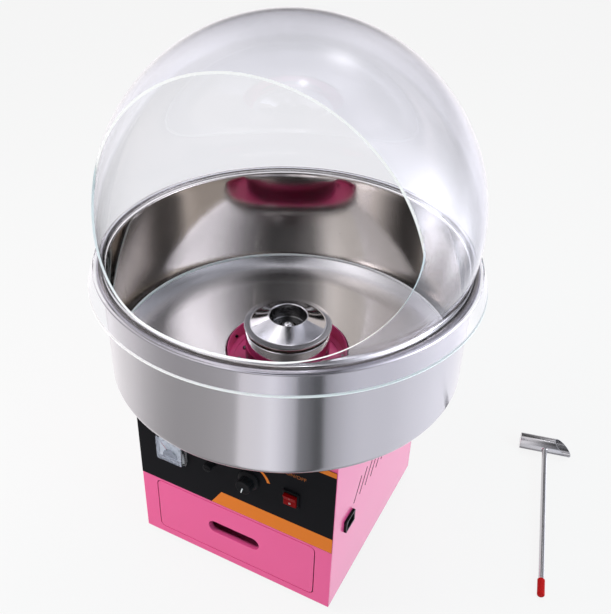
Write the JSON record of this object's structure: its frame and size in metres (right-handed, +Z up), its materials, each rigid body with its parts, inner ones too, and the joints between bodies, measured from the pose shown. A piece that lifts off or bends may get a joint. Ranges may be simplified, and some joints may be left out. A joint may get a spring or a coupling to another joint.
{
  "type": "candy floss machine",
  "caption": "Electric candy floss machine: square cabinet with drawer and controls, spun steel bowl, spinning sugar head, clear half-open dome, and a sugar scoop beside it.",
  "frame": {"origin": "on the axis of the spinner head, on the surface that the feet stand on", "axes": "+Z up along the spinner axis, -Y out of the front with the controls and the drawer, +X towards the side with the mains inlet"},
  "size_m": [0.7329, 0.6374, 0.83],
  "materials": {
    "pink_paint": "satin baked enamel",
    "panel_print": "printed film, black with orange bands",
    "zinc_steel": "zinc plated sheet",
    "bowl_steel": "spun satin stainless steel",
    "polished_steel": "polished",
    "dome_plastic": "clear moulded plastic",
    "clear_plastic": "clear moulded plastic",
    "black_plastic": "fine grained",
    "red_plastic": "glossy",
    "red_rubber": "dipped grip",
    "foot_rubber": "matte",
    "dial_card": "printed card",
    "ring_brass": "turned",
    "motor_iron": "lacquered",
    "heater_alloy": "heat tinted",
    "carbon": "sintered",
    "circuit_board": "soldered board"
  },
  "bodies": {
    "machine": {"base_plate": "zinc_steel", "top_plate": "pink_paint", "front_panel": "pink_paint", "back_panel": "pink_paint", "left_panel": "pink_paint", "right_panel": "pink_paint", "control_overlay": "panel_print", "foot_front_left": "foot_rubber", "foot_front_right": "foot_rubber", "foot_back_left": "foot_rubber", "foot_back_right": "foot_rubber", "drawer_shelf": "zinc_steel", "runner_left": "zinc_steel", "runner_right": "zinc_steel", "control_board": "circuit_board", "terminal_block": "black_plastic", "voltmeter_window": "clear_plastic", "voltmeter_case": "black_plastic", "voltmeter_dial": "dial_card", "fuse_holder": "black_plastic", "heat_regulator": "zinc_steel", "rocker_frame": "black_plastic", "inlet_socket": "black_plastic", "turret_ring": "pink_paint", "bowl_seat": "foot_rubber", "motor_plate": "zinc_steel", "motor_post_1": "foot_rubber", "motor_post_2": "foot_rubber", "motor_post_3": "foot_rubber", "motor_can": "motor_iron", "motor_end_bell": "motor_iron", "bearing_upper": "polished_steel", "bearing_lower": "polished_steel", "motor_stator": "motor_iron", "brush_holder": "black_plastic", "carbon_brush_lower": "carbon", "carbon_brush_upper": "carbon"},
    "spinner": {"motor_shaft": "polished_steel", "motor_rotor": "motor_iron", "cooling_fan": "black_plastic", "slip_ring_hub": "black_plastic", "slip_ring_lower": "ring_brass", "slip_ring_upper": "ring_brass", "head_pan": "polished_steel", "heater_ring": "heater_alloy", "mesh_band": "heater_alloy", "head_cap": "polished_steel", "clamp_nut": "polished_steel"},
    "drawer": {"drawer_front": "pink_paint", "drawer_tray": "pink_paint"},
    "needle": {"voltmeter_needle": "red_plastic"},
    "fuse_carrier": {"fuse_cap": "black_plastic", "fuse_link": "clear_plastic"},
    "knob": {"heat_knob": "black_plastic"},
    "rocker": {"rocker_button": "red_plastic"},
    "floss_bowl": {"bowl": "bowl_steel"},
    "dome": {"dome_cover": "dome_plastic"},
    "scoop": {"scoop_tube": "polished_steel", "scoop_rod": "polished_steel", "scoop_tip": "red_rubber"}
  },
  "joints": [
    {"name": "spinner_spin", "type": "hinge", "parent": "machine", "child": "spinner", "pos_m": [0, 0, 0.34], "axis": [0, 0, 1], "continuous": true},
    {"name": "drawer_slide", "type": "slide", "parent": "machine", "child": "drawer", "axis": [0, -1, 0], "range_m": [0, 0.24]},
    {"name": "needle_swing", "type": "hinge", "parent": "machine", "child": "needle", "pos_m": [-0.103, -0.17, 0.201], "axis": [0, 1, 0], "range_deg": [0, 90], "stiffness_Nm_per_rad": 0.001},
    {"name": "knob_turn", "type": "hinge", "parent": "machine", "child": "knob", "pos_m": [0.0295, -0.1672, 0.213], "axis": [0, 1, 0], "range_deg": [0, 270]},
    {"name": "rocker_tilt", "type": "hinge", "parent": "machine", "child": "rocker", "pos_m": [0.0985, -0.1672, 0.212], "axis": [-1, 0, 0], "range_deg": [0, 20]},
    {"name": "fuse_carrier_pull", "type": "slide", "parent": "machine", "child": "fuse_carrier", "axis": [0, -1, 0], "range_m": [0, 0.045]},
    {"name": "bowl_lift", "type": "slide", "parent": "machine", "child": "floss_bowl", "axis": [0, 0, 1], "range_m": [0, 0.12]},
    {"name": "dome_lift", "type": "slide", "parent": "floss_bowl", "child": "dome", "axis": [0, 0, 1], "range_m": [0, 0.12]},
    {"name": "scoop_lift", "type": "slide", "parent": "machine", "child": "scoop", "axis": [0, 0, 1], "range_m": [0, 0.2]}
  ]
}
